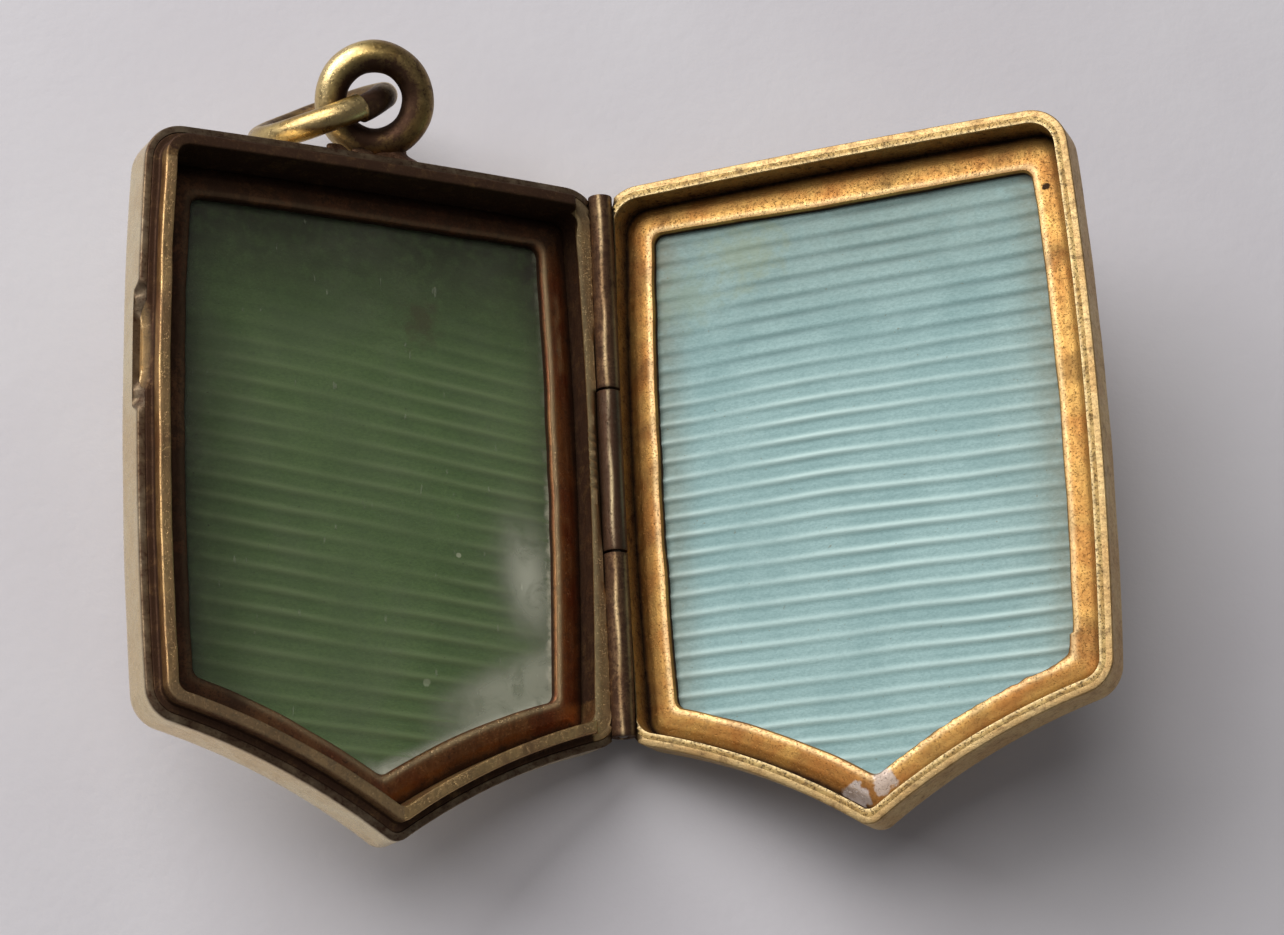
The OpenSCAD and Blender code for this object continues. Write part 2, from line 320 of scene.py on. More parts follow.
class Nodes:
    """A short way to write a material's nodes."""

    def __init__(self, name):
        self.material = bpy.data.materials.new(name)
        self.material.use_nodes = True
        self.tree = self.material.node_tree
        self.shader = self.tree.nodes["Principled BSDF"]
        self.place = self.add("ShaderNodeMapping", Scale=(1000, 1000, 1000))
        self.link(self.add("ShaderNodeTexCoord").outputs["Object"], self.place.inputs["Vector"])

    def add(self, kind, **inputs):
        """A new node with its inputs set by name, with _ for a space."""
        node = self.tree.nodes.new(kind)
        for key, value in inputs.items():
            self.put(node.inputs[key.replace("_", " ")], value)
        return node

    def link(self, source, target):
        self.tree.links.new(source, target)

    def put(self, socket, value):
        """Links a socket to another's output, or sets it to a constant."""
        if isinstance(value, bpy.types.NodeSocket):
            self.link(value, socket)
        else:
            socket.default_value = value

    def set(self, **inputs):
        """Sets inputs of the material's own shader."""
        for key, value in inputs.items():
            self.put(self.shader.inputs[key.replace("_", " ")], value)

    def stretched(self, scale):
        """Millimetre coordinates scaled along each axis, for brushed or fibrous texture."""
        node = self.add("ShaderNodeMapping", Scale=scale)
        self.link(self.place.outputs[0], node.inputs["Vector"])
        return node.outputs[0]

    def noise(self, scale, detail=4, rough=0.55, warp=0.0, vector=None):
        node = self.add("ShaderNodeTexNoise", Scale=scale, Detail=detail, Roughness=rough, Distortion=warp)
        self.link(vector or self.place.outputs[0], node.inputs["Vector"])
        return node.outputs["Fac"]

    def ramp(self, value, low, high, out_low=0.0, out_high=1.0):
        """A smooth rise from out_low to out_high as the value goes from low to high."""
        node = self.add("ShaderNodeMapRange", Value=value)
        for key, number in zip(("From Min", "From Max", "To Min", "To Max"), (low, high, out_low, out_high)):
            node.inputs[key].default_value = number
        node.interpolation_type = "SMOOTHSTEP"
        return node.outputs[0]

    def mask(self, name):
        """A mesh mask that was given to add_piece."""
        node = self.tree.nodes.new("ShaderNodeAttribute")
        node.attribute_name = name
        return node.outputs["Fac"]

    def combine(self, operation, a, b, clamped=True):
        node = self.tree.nodes.new("ShaderNodeMath")
        node.operation = operation
        node.use_clamp = clamped
        self.put(node.inputs[0], a)
        self.put(node.inputs[1], b)
        return node.outputs[0]

    def plus(self, a, b):
        return self.combine("ADD", a, b)

    def times(self, a, b):
        return self.combine("MULTIPLY", a, b)

    def blend(self, amount, low, high):
        """A colour that goes from low to high with the amount."""
        node = self.tree.nodes.new("ShaderNodeMix")
        node.data_type = "RGBA"
        self.put(node.inputs["Factor"], amount)
        self.put(node.inputs["A"], low if isinstance(low, bpy.types.NodeSocket) else (*low, 1))
        self.put(node.inputs["B"], high if isinstance(high, bpy.types.NodeSocket) else (*high, 1))
        return node.outputs["Result"]

    def bump(self, height, distance, strength=1.0, under=None):
        """A bumped normal, over another one if given. The distance is in millimetres."""
        node = self.add("ShaderNodeBump", Height=height, Distance=distance * MM, Strength=strength)
        if under is not None:
            self.link(under, node.inputs["Normal"])
        return node.outputs["Normal"]

    def near(self, point, radius, soft=0.3):
        """1 near a point in the leaf frame, fading unevenly to 0 at about the radius."""
        node = self.tree.nodes.new("ShaderNodeVectorMath")
        node.operation = "DISTANCE"
        self.link(self.place.outputs[0], node.inputs[0])
        node.inputs[1].default_value = point
        uneven = self.ramp(self.noise(2.5, 3), 0.2, 0.8, -0.4 * radius, 0.4 * radius)
        span = self.combine("ADD", node.outputs["Value"], uneven, clamped=False)
        return self.ramp(span, radius, radius * (1 - soft))


# The first colour is tarnish and also painted shade, the second polish and also painted highlights; each
# piece's masks say where they go.
TARNISH_AND_SHADE = (0.080, 0.043, 0.026)
POLISHED_AND_HIGHLIGHT = (0.95, 0.76, 0.42)


def gold(name, bright, warm, stained, rough, brushed=(1, 1, 1), patches=0.5, pits=0.5, spots=()):
    """Worn gold: broad warm and bright patches, dark tarnish and painted shade where masked, polish and
    painted highlights where masked, brushed scratches and pits.
    spots are (point, radius, colour) of small marks in the leaf frame."""
    n = Nodes(name)
    broad = n.ramp(n.noise(patches, 5, 0.6, 0.6), 0.35, 0.65)
    colour = n.blend(broad, warm, bright)
    mottled = n.ramp(n.noise(2.6, 6, 0.7, 0.4), 0.48, 0.72, 0.0, stained)
    fine = n.ramp(n.noise(11, 4, 0.7), 0.5, 0.75, 0.0, stained)
    # This mask is real dirt and tarnish, and also painted shade laid on by the pieces.
    dirt_and_shade = n.times(n.mask("grime_and_shade"), n.ramp(n.noise(1.6, 4, 0.6), 0.2, 0.6, 0.75, 1))
    grime_and_shade = n.plus(dirt_and_shade, n.times(n.plus(mottled, fine), 0.75))
    colour = n.blend(grime_and_shade, colour, TARNISH_AND_SHADE)
    # This mask is real wear, and also painted highlights laid on by the pieces.
    colour = n.blend(n.mask("wear_and_highlight"), colour, POLISHED_AND_HIGHLIGHT)
    for point, radius, spot in spots:
        colour = n.blend(n.near(point, radius), colour, spot)
    scratch = n.noise(7, 3, 0.6, 0.0, n.stretched(brushed))
    hair = n.noise(30, 2, 0.5, 0.0, n.stretched(brushed))
    lines = n.plus(n.times(scratch, 0.6), n.times(hair, 0.4))
    normal = n.bump(lines, 0.012, 0.6)
    normal = n.bump(n.ramp(n.noise(14, 5, 0.65), 0.3, 0.45), 0.02, pits, normal)
    roughness = n.plus(n.ramp(scratch, 0.3, 0.7, rough, rough + 0.16), n.times(grime_and_shade, 0.25))
    n.set(Base_Color=colour, Metallic=1.0, Roughness=roughness, Normal=normal)
    return n.material


def ribbed_paper(name, base, pale, crest, deep, dirt_and_shade, sheen, stains):
    """Ribbed paper: fibres, blotches, painted shade in the grooves, painted highlights on the crests, dirt
    round the frame and painted shade towards the bail.
    stains are (point, radius, softness, colour) of faint spots in the leaf frame."""
    n = Nodes(name)
    blotch = n.ramp(n.noise(0.35, 5, 0.6, 0.4), 0.35, 0.65)
    colour = n.blend(blotch, base, pale)
    fibre = n.noise(9, 6, 0.7, 0.2, n.stretched((1, 1.8, 1)))
    colour = n.blend(n.ramp(fibre, 0.35, 0.7, 0.0, 0.35), colour, deep)
    # The grooves are painted darker as shade, and the crests lighter as painted highlights.
    colour = n.blend(n.times(n.mask("groove"), 0.6), colour, deep)
    colour = n.blend(n.times(n.mask("crest"), 0.85), colour, crest)
    speck = n.ramp(n.noise(7.5, 2, 0.4), 0.73, 0.8, 0.0, 0.55)
    # This darkening is dirt near the sides, and painted shade towards the bail and the outer side.
    dust_and_shade = n.times(n.mask("grime_and_shade"), n.ramp(n.noise(2.2, 4), 0.2, 0.6, 0.6, 1))
    colour = n.blend(n.plus(speck, dust_and_shade), colour, dirt_and_shade)
    for point, radius, softness, stain in stains:
        colour = n.blend(n.times(n.near(point, radius, softness), 0.6), colour, stain)
    normal = n.bump(fibre, 0.03, 0.5)
    n.set(Base_Color=colour, Roughness=n.ramp(fibre, 0.3, 0.7, 0.42, 0.62), Normal=normal,
          Specular_IOR_Level=sheen)
    return n.material


def celluloid(name):
    """Old clear sheet: yellowed, scratched, with painted glare where masked, and white where its edge has
    flaked.
    """
    n = Nodes(name)
    # This mask paints glare, a pale reflection, into the sheet's colour and opacity.
    painted_glare = n.times(n.mask("painted_glare"), n.ramp(n.noise(1.2, 4, 0.6, 0.6), 0.25, 0.6, 0.55, 1))
    yellowing = n.ramp(n.noise(0.3, 4, 0.6, 0.5), 0.35, 0.75, 0.02, 0.08)
    yellowing_and_glare = n.plus(yellowing, n.times(painted_glare, 0.88))
    lint = n.ramp(n.noise(5, 2, 0.4, 0.3, n.stretched((1, 0.25, 1))), 0.74, 0.79, 0.0, 0.35)
    flake = n.times(n.mask("edge"), n.ramp(n.noise(1.5, 4, 0.6), 0.35, 0.62, 0.12, 0.85))
    alpha = n.plus(n.plus(yellowing_and_glare, lint), flake)
    colour = n.blend(painted_glare, (0.30, 0.33, 0.22), (0.60, 0.61, 0.47))
    colour = n.blend(flake, colour, (0.66, 0.62, 0.46))
    scratch = n.noise(6, 3, 0.6, 0.2, n.stretched((0.3, 1.4, 1)))
    n.set(Base_Color=colour, Alpha=alpha, Roughness=n.ramp(scratch, 0.3, 0.7, 0.10, 0.24),
          Normal=n.bump(scratch, 0.006, 0.5), IOR=1.5, Specular_IOR_Level=1.0)
    return n.material


def card(name):
    """Plain fibrous card, a little uneven in colour."""
    n = Nodes(name)
    fibre = n.noise(5, 5, 0.6)
    n.set(Base_Color=n.blend(fibre, (0.36, 0.29, 0.19), (0.62, 0.54, 0.40)), Roughness=0.8,
          Normal=n.bump(fibre, 0.02, 0.5))
    return n.material


# The right frame's spots are a pinhole at its far bail corner and two pale flakes at its point.
# The green paper has a brown stain and two pale specks, and the blue paper two yellowed patches.
MAT = {
    "case_left": gold("case_gold_left", bright=(0.80, 0.68, 0.44), warm=(0.72, 0.55, 0.31), stained=0.2,
                      rough=0.22, brushed=(0.25, 1, 1), pits=0.1, patches=0.3),
    "case_right": gold("case_gold_right", bright=(0.54, 0.39, 0.18), warm=(0.45, 0.29, 0.12), stained=0.6,
                       rough=0.42, brushed=(0.25, 1, 1), pits=0.3, patches=0.6),
    "inner": gold("inner_gold", bright=(0.50, 0.31, 0.12), warm=(0.30, 0.15, 0.06), stained=0.6, rough=0.36,
                  brushed=(1, 0.2, 1)),
    "rim": gold("rim_gold", bright=(0.42, 0.30, 0.12), warm=(0.33, 0.21, 0.075), stained=0.8, rough=0.46,
                brushed=(1, 1, 1), patches=0.9, pits=0.9),
    # The left frame's gold is a darker copy of the right frame's: painted shade over the whole left frame.
    "frame_left": gold("frame_gold_left", bright=(0.32, 0.15, 0.06), warm=(0.24, 0.08, 0.035), stained=0.7,
                       rough=0.34, brushed=(1, 0.2, 1)),
    "frame_right": gold("frame_gold_right", bright=(0.62, 0.37, 0.11), warm=(0.48, 0.22, 0.06), stained=0.35,
                        rough=0.46, brushed=(1, 0.4, 1), pits=0.6,
                        spots=(((15.97, 7.54, -1.05), 0.17, (0.035, 0.02, 0.01)),
                               ((7.75, -12.55, -1.1), 0.55, (0.62, 0.55, 0.50)),
                               ((8.75, -12.15, -1.1), 0.45, (0.56, 0.46, 0.38)))),
    "hinge": gold("hinge_gold", bright=(0.40, 0.26, 0.12), warm=(0.28, 0.15, 0.07), stained=0.6, rough=0.36,
                  brushed=(1, 0.15, 1)),
    "hinge_dark": gold("hinge_gold_dark", bright=(0.13, 0.10, 0.07), warm=(0.09, 0.065, 0.045), stained=0.6,
                       rough=0.3, brushed=(1, 0.15, 1)),
    "pin": gold("pin_metal", bright=(0.4, 0.36, 0.32), warm=(0.3, 0.26, 0.22), stained=0.5, rough=0.35),
    "bail": gold("bail_gold", bright=(0.56, 0.42, 0.16), warm=(0.40, 0.26, 0.08), stained=0.5, rough=0.22,
                 brushed=(0.6, 0.6, 0.6), pits=0.3),
    "solder": gold("solder", bright=(0.36, 0.22, 0.13), warm=(0.24, 0.12, 0.07), stained=0.8, rough=0.38,
                   pits=1.0),
    # Each paper's crest colour is a painted highlight, and its deep colour also paints shade in the grooves.
    "green": ribbed_paper("green_paper", base=(0.090, 0.148, 0.050), pale=(0.112, 0.178, 0.062),
                          crest=(0.16, 0.22, 0.095), deep=(0.022, 0.045, 0.018),
                          dirt_and_shade=(0.03, 0.028, 0.018), sheen=0.3,
                          stains=(((-6.5, 4.7, -1.5), 1.1, 0.95, (0.06, 0.045, 0.025)),
                                  ((-5.3, -3.5, -1.5), 0.10, 0.3, (0.50, 0.52, 0.35)),
                                  ((-6.6, -8.0, -1.5), 0.16, 0.4, (0.34, 0.38, 0.24)))),
    "blue": ribbed_paper("blue_paper", base=(0.24, 0.40, 0.385), pale=(0.30, 0.47, 0.45),
                         crest=(0.56, 0.74, 0.69), deep=(0.11, 0.20, 0.20),
                         dirt_and_shade=(0.17, 0.16, 0.09), sheen=0.4,
                         stains=(((4.9, 7.4, -1.4), 2.0, 0.95, (0.24, 0.30, 0.19)),
                                 ((2.6, 6.0, -1.4), 1.6, 0.95, (0.22, 0.30, 0.22)))),
    "sheet": celluloid("celluloid"),
    "card": card("backing_card"),
}


# ---------------------------------------------------------------- the two cases

def build_cover(side):
    """The pressed outer case: floor, wall, worn mouth edge and rounded back."""
    prefix = PREFIX[side]
    arc_w = CASE_DEPTH - EDGE_ROUND
    profile = [(4.0, FLOOR_W), (SHELL_T + 0.02, FLOOR_W), (SHELL_T, FLOOR_W + 0.05)]
    profile += [(SHELL_T, w) for w in np.linspace(FLOOR_W + 0.1, MOUTH_W - 0.03, 14)]
    inner_levels = len(profile)
    profile += [(SHELL_T - 0.01, MOUTH_W), (0.05, MOUTH_W), (0.015, MOUTH_W - 0.015), (0, MOUTH_W - 0.05)]
    profile += [(0, w) for w in np.linspace(MOUTH_W - 0.12, -arc_w, 12)]
    for a in np.linspace(0.1, math.pi / 2, 12):
        profile.append((EDGE_ROUND * (1 - math.cos(a)), -arc_w - EDGE_ROUND * math.sin(a)))
    profile += [(x, -CASE_DEPTH) for x in (1.6, 2.6, 4.0, 5.5, 7.0)]
    p, inset, levels, count = loft(profile)
    u, v, w = p.T.copy()
    if side == LEFT:
        carve_notch(p)
    grooved = carve_groove(p, side)
    outer = (inset < EDGE_ROUND) & (np.arange(len(p)) >= count * inner_levels)
    p[:, 0] += outer * (w < -0.3) * DENT * ripple(v, w, 3 + side, 5.0)
    back = w < -CASE_DEPTH + 1e-6
    p[:, 2] -= back * DENT * np.minimum(0, ripple(u, v, 9 + side, 7.0) + 0.2) * smooth(inset, 1.0, 2.0)
    mouth = smooth(w, -0.25, -0.02) * (inset < SHELL_T + 0.01)
    masks = {
        "grime_and_shade": np.clip(grooved * 0.7 + (inset > SHELL_T) * (w > -2.0) * 0.8
                         + mouth * 0.9 * (side == LEFT), 0, 1),
        "wear_and_highlight": 0.25 * smooth(ripple(u, v, 5, 4.0), 0.2, 0.9) * back + 0.2 * smooth(-w, 1.3, 1.9),
    }
    faces = skin(levels, count, False)
    add_piece(prefix + "_cover_shell", on_side(p, side), faces, half_matrix(side), BODY[side],
              MAT["case_" + prefix], [prefix + "_cover"], masks, 50)


def build_left_band():
    """Inner wall, shoulder and snap lip. Along the hinge side the lip is filed down to a flat strip,
    with a row of file marks across its middle."""
    profile = rounded([(LIP_IN, FLOOR_W), (LIP_IN, LIP_H), (LIP_OUT, LIP_H), (LIP_OUT, MOUTH_W),
                       (SHELL_T, MOUTH_W), (SHELL_T, FLOOR_W)], 0.07, 5)
    p, inset, levels, count = loft(split_long(profile, 0.11))
    u, v, w = p.T.copy()
    top = w > MOUTH_W + 0.002
    filed = 1 - smooth(u, 0.95, 1.35)
    strip = filed > 0.5
    p[top, 2] = (w * (1 - filed) + (MOUTH_W - 0.01) * filed)[top]
    lip = top & ~strip
    p[lip, 2] += 0.018 * ripple(u, v, 21, 3.5)[lip] * smooth(w, 0.3, LIP_H)[lip]
    p[lip, 0] += 0.012 * ripple(u, v, 22, 2.5)[lip]
    marks = smooth(np.cos((v - 0.02) * FULL_TURN / FILE_MARK_PITCH), 0.1, 0.95)
    marks *= smooth(np.abs(v), 1.35, 1.1)
    p[:, 2] -= 0.08 * marks * strip * (w > MOUTH_W - 0.05)
    bulge = smooth(inset, 0.7, 0.8) * smooth(w, -0.35, -0.05) * smooth(-v, -9.0, -8.0)
    p[:, 0] += STRIP_BULGE * bulge * strip
    notch = carve_notch(p)
    grooved = carve_groove(p, LEFT)
    shoulder = (inset < LIP_OUT + 0.03) & (w > -0.08) & (w < 0.2) & ~strip
    inner = (inset > LIP_IN - 0.02) & (w < LIP_H - 0.06)
    hinge_corner = (v < -8.5) & (u < 8.5)
    # Painted shade towards the bail end and at the lip's far point.
    bail_end = smooth(v, 8.2, 9.2)
    far_point = smooth(-v, 8.5, 9.5) * (u > 8.5)
    # Painted shade on the inner wall, lighter on the filed strip and at the hinge-side corner.
    inner_wall_shade = inner * (1 - 0.8 * strip * (w > -0.3)) * (0.95 - 0.5 * hinge_corner)
    # In the wear mask, the filed strip's inner edge is a painted highlight; the rest is real polish.
    masks = {
        "grime_and_shade": np.clip(shoulder * (1 - 0.7 * notch) + marks * strip + inner_wall_shade + grooved * 0.5
                         + bail_end + 0.65 * far_point, 0, 1),
        "wear_and_highlight": np.clip(smooth(w, LIP_H - 0.05, LIP_H) * lip * (v < 8.6) * 0.15 + notch * 0.3
                        + strip * (w > MOUTH_W - 0.04) * (0.2 + 0.3 * (inset > LIP_IN - 0.08)), 0, 1),
    }
    faces = skin(levels, count, True)
    add_piece("left_inner_band", on_side(p, LEFT), faces, half_matrix(LEFT), BODY[LEFT], MAT["inner"],
              ["left_band"], masks)


def build_right_band():
    """Inner wall whose top is the flat, finely brushed rim."""
    seam = SHELL_T - 0.02
    profile = rounded([(RIM_W, FLOOR_W), (RIM_W, MOUTH_W), (seam, MOUTH_W), (seam, FLOOR_W)], 0.012, 4)
    p, inset, levels, count = loft(split_long(profile, 0.11))
    u, v, w = p.T.copy()
    rim = w > -0.06
    p[rim, 2] += 0.006 * ripple(u, v, 31, 2.0)[rim] - 0.006
    grooved = carve_groove(p, RIGHT)
    # Grime here is painted shade deeper down the wall, plus the hinge groove; wear is a painted highlight
    # along the rim's inner edge.
    masks = {
        "grime_and_shade": np.clip(smooth(-w, 0.2, 1.3) * 0.75 + grooved * 0.6, 0, 1),
        "wear_and_highlight": rim * (inset > RIM_W - 0.03) * 0.5,
    }
    faces = skin(levels, count, True)
    add_piece("right_rim_band", on_side(p, RIGHT), faces, half_matrix(RIGHT), BODY[RIGHT], MAT["rim"],
              ["right_band"], masks)


def build_frame(side):
    """The picture frame: a domed strip, with painted shade at its seam and a painted highlight along its
    raised inner edge.
    """
    prefix, outer, width = PREFIX[side], SEAM[side], FRAME_W
    top = -FRAME_DEPTH
    profile = [(outer, WINDOW_TOP), (outer, top - 0.28), (outer + 0.12 * width, top - 0.2),
               (outer + 0.35 * width, top - 0.08), (outer + 0.62 * width, top - 0.02),
               (outer + 0.84 * width, top), (outer + 0.95 * width, top - 0.03),
               (outer + width, top - 0.12), (outer + width, WINDOW_TOP)]
    p, inset, levels, count = loft(split_long(profile[::-1], 0.09))
    u, v, w = p.T.copy()
    across = (inset - outer) / width
    inward = smooth(across, 0.2, 1.0)
    middle = np.array([HALF_W + HINGE_INSET, -1.0])
    pull = np.column_stack([u, v]) - middle
    pull /= np.linalg.norm(pull, axis=1)[:, None]
    ragged = 0.02 * ripple(u, v, 41 + side, 3.0)
    if side == RIGHT:
        # ragged at the foot, notched at its outer corner, and wider along the bail end
        low = smooth(-v, 7.5, 8.6) * smooth(u, 8.6, 9.6)
        ragged += low * (0.025 * ripple(u, v, 45, 0.8) + 0.015 * ripple(u, v, 46, 0.3))
        ragged -= 0.16 * smooth(-v, 7.95, 8.1) * smooth(v, -9.1, -8.6) * smooth(u, 13.5, 14.5)
        p[:, 1] -= EXTRA_TOP_W * smooth(across, 0.0, 0.6) * smooth(v, 6.5, 7.8) * smooth(u, 1.0, 9.0)
    p[:, 0] += pull[:, 0] * ragged * inward
    p[:, 1] += pull[:, 1] * ragged * inward
    p[:, 2] += 0.012 * ripple(u, v, 51 + side, 4.0) * inward * (w > WINDOW_TOP + 0.02)
    # Painted shade on the left frame: its outer side, its bail end and its far point.
    far_point = smooth(-v, 7.5, 9.5) * (u > 8.5)
    inner_edge_highlight = smooth(across, 0.72, 0.86) * smooth(-across, -0.98, -0.90)
    shaded = (side == LEFT) * np.clip(smooth(u, 12.5, 15.0) + smooth(v, 6.8, 8.4) + 0.6 * far_point, 0, 1)
    # glint is a painted reflection on the left frame's hinge side.
    glint = (side == LEFT) * 0.45 * np.exp(-((across - 0.52) / 0.10) ** 2) * (u < 3)
    glint *= smooth(v, 2.6, 3.6) * smooth(-v, -6.6, -5.4) * (0.5 + 0.5 * ripple(u, v, 66, 1.0))
    # Grime here is painted shade at the seam and on the left frame, random blotches, and painted shade on
    # the inner face down to the window; wear is the glint and a painted highlight along the inner edge.
    masks = {
        "grime_and_shade": np.clip(smooth(-across, -0.34 if side == LEFT else -0.18, -0.02) * 0.95 + 0.85 * shaded
                         + 0.3 * smooth(ripple(u, v, 61 + side, 3.0), 0.1, 0.8)
                         + smooth(across, 0.97, 1.0) * smooth(-w, 1.1, 1.2), 0, 1),
        "wear_and_highlight": glint + 0.45 * inner_edge_highlight * (1 - 0.9 * shaded),
    }
    faces = skin(levels, count, True)
    add_piece(prefix + "_picture_frame", on_side(p, side), faces, half_matrix(side), BODY[side],
              MAT["frame_" + prefix], [prefix + "_frame"], masks)


# ---------------------------------------------------------------- papers, sheet and cards

def across_rows(inset, rows, columns):
    """A grid that fills the outline: for each v, points evenly spaced from side to side. The outline
    is parted at its foot and its highest point to find where each side lies."""
    ring = outline(inset)
    low, high = ring[:, 1].min(), ring[:, 1].max()
    v = np.linspace(low + 0.002, high - 0.002, rows)
    tip, crown = ring[:, 1].argmin(), ring[:, 1].argmax()
    order = np.roll(ring, -tip, axis=0)
    top = (crown - tip) % len(ring)
    right, left = order[:top + 1], np.concatenate([order[top:], order[:1]])[::-1]
    ends = [np.interp(v, np.maximum.accumulate(s[:, 1]), s[:, 0]) for s in (left, right)]
    share = np.linspace(0, 1, columns)
    u = ends[0][:, None] + (ends[1] - ends[0])[:, None] * share
    return u, np.repeat(v[:, None], columns, 1)


def build_sheet(name, side, top, thickness, relief, material, stands_for, rows, columns):
    """A flat closed piece of the outline's shape. relief gives the top's height change and its masks."""
    u, v = across_rows(SEAM[side], rows, columns)
    rise, masks = relief(u, v)
    upper = np.stack([u, v, top + rise], -1).reshape(-1, 3)
    lower = np.stack([u, v, np.full_like(u, top - thickness)], -1).reshape(-1, 3)
    size = rows * columns

    def index(i, j, layer):
        return layer * size + i * columns + j

    faces = []
    for i in range(rows - 1):
        for j in range(columns - 1):
            quad = (i, j), (i, j + 1), (i + 1, j + 1), (i + 1, j)
            faces.append(tuple(index(a, b, 0) for a, b in quad))
            faces.append(tuple(index(a, b, 1) for a, b in quad[::-1]))
    border = [(0, j) for j in range(columns)] + [(i, columns - 1) for i in range(1, rows)]
    border += [(rows - 1, j) for j in range(columns - 2, -1, -1)] + [(i, 0) for i in range(rows - 2, 0, -1)]
    for a, b in zip(border, border[1:] + border[:1]):
        faces.append((index(*a, 1), index(*b, 1), index(*b, 0), index(*a, 0)))
    masks = {key: np.concatenate([m.reshape(-1)] * 2) for key, m in masks.items()}
    add_piece(name, on_side(np.concatenate([upper, lower]), side), faces, half_matrix(side), BODY[side],
              material, stands_for, masks, 60)


def ribs(pitch, slant, height, narrow, shaded, fade, dust_and_shade, seed):
    """Relief of ribbed paper: ribs across the half, slightly slanted and buckled, each with a crest
    and a groove beside it. Above v = shaded the grooves show, painted dark as shade, and below it the
    crests, raised higher and painted light as highlights.
    Towards the bail the ribs fade, and painted shade darkens the paper towards the bail and the outer side."""

    def relief(u, v):
        line = v + slant * (u - 8.5) + 0.10 * ripple(u, v, seed, 22.0) + 0.02 * ripple(u, v, seed + 3, 5.0)
        phase = line * FULL_TURN / pitch
        crest = (0.5 + 0.5 * np.cos(phase)) ** narrow
        groove = (0.5 + 0.5 * np.cos(phase + 1.9)) ** narrow
        strength = np.clip(0.75 + 0.4 * ripple(u, v, seed + 1, 7.0), 0.2, 1.2)
        strength *= 1 - fade * smooth(v, 0.5, 6.0)
        low = smooth(-v, -shaded - 1.5, -shaded + 1.5)
        middle = np.minimum(smooth(u, 1.5, 2.9), smooth(-u, -15.8, -14.2))
        buckle = (0.02 * ripple(u, v, seed + 2, 10.0) - 0.02) * middle
        # Painted shade: darker towards the bail and towards the outer side.
        painted_shade = np.maximum(smooth(v, 2.5, 8.5), 0.6 * smooth(u, 12.0, 15.5))
        relief_mm = height * strength * (crest * (0.5 + 0.5 * low) - 0.5 * groove - 0.5)
        # The crest and groove masks paint highlights and shade; grime is dirt near the sides plus the
        # painted shade.
        return relief_mm + buckle, {
            "crest": np.clip(crest * strength * low, 0, 1),
            "groove": np.clip(groove * strength * (1 - 0.75 * low), 0, 1),
            "grime_and_shade": np.clip(0.5 * (1 - middle) + dust_and_shade * painted_shade, 0, 1)}

    return relief


def window_relief(u, v):
    """A slightly warped sheet, flaked along the hinge side, with painted glare low on the sheet and along
    its foot.
    """
    past_frame = u - u[:, :1] - FRAME_W
    chips = 0.05 * ripple(u, v, 71, 1.3) + 0.03 * ripple(u, v, 72, 0.5)
    strength = 0.2 + 0.6 * smooth(-v, -1.0, 2.5) * smooth(v, -8.8, -6.0)
    edge = smooth(-past_frame, -0.13 - chips, -0.04 - chips) * smooth(-v, -8.6, -7.8) * strength
    # Painted glare: a pale reflection low on the sheet, along its foot and in a band above the foot.
    glare = 0.8 * np.exp(-(((u - 2.7) / 0.9) ** 2 + ((v + 4.2 - 0.5 * (u - 2.7)) / 1.8) ** 2))
    foot = smooth(-(v + 10.9 - 0.40 * np.abs(u - 8.5)), -0.25, 0.45) * smooth(-u, -9.3, -8.2)
    band = smooth(-(v + 9.6 - 0.42 * np.abs(u - 8.5)), -0.9, 0.4) * smooth(-u, -7.4, -4.0) * 0.6
    warp = 0.05 * ripple(u, v, 73, 11.0)
    inside = np.minimum(smooth(u, 1.3, 3.4), smooth(-u, -15.6, -14.0))
    inside *= smooth(v, -13, -9) * smooth(-v, -9.6, -7)
    return np.minimum(warp, 0) * inside * 0.6, {
        "edge": np.clip(edge, 0, 1), "painted_glare": np.clip(glare + foot + band, 0, 1)}


def flat(u, v):
    """The relief of a plain card."""
    return np.zeros_like(u), {}


# ---------------------------------------------------------------- hinge and bail

def lathe(name, profile, matrix, body, material, stands_for, masks, segments=64):
    """A closed turned solid about the local Y axis from (radius, y) points."""
    angle = np.linspace(0, FULL_TURN, segments, endpoint=False)
    across, up = np.sin(angle), np.cos(angle)
    p = np.concatenate([np.column_stack([r * across, np.full(segments, y), r * up]) for r, y in profile])
    faces = skin(len(profile), segments, True)
    add_piece(name, p, faces, matrix, body, material, stands_for, masks(p), 50)


def build_knuckle(name, low, high, bore, body, material):
    """A length of tube with worn, rounded ends and faint turning marks."""
    r = KNUCKLE_R
    end = [(bore, 0.01), (bore + 0.03, 0), (r - 0.04, 0), (r - 0.01, 0.012), (r, 0.05)]
    profile = [(radius, low + step) for radius, step in end]
    profile += [(r - 0.004 * (k % 2), y) for k, y in enumerate(np.linspace(low + 0.15, high - 0.15, 40))]
    profile += [(radius, high - step) for radius, step in reversed(end)]

    def masks(p):
        # Painted highlights: a narrow streak and a fainter strip on the flank, varying along the barrel;
        # painted shade darkens the rest of the barrel and its ends.
        ends = np.minimum(p[:, 1] - low, high - p[:, 1])
        highlight_streak = np.exp(-((p[:, 0] + 0.06 + 0.02 * np.sin(2.1 * p[:, 1])) / 0.055) ** 2)
        flank_highlight = np.exp(-((p[:, 0] - 0.30) / 0.05) ** 2)
        highlight_along = 0.55 + 0.45 * np.sin(1.3 * p[:, 1] + low)
        return {"grime_and_shade": np.clip(0.9 - 0.55 * highlight_streak - 0.5 * flank_highlight + 0.5 * smooth(-ends, -0.12, 0.0), 0, 1),
                "wear_and_highlight": np.clip((0.4 * highlight_streak + 0.12 * flank_highlight) * highlight_along, 0, 1)}

    lathe(name + "_tube", profile, Matrix.Translation(HINGE), body, MAT[material], [name],
          masks)


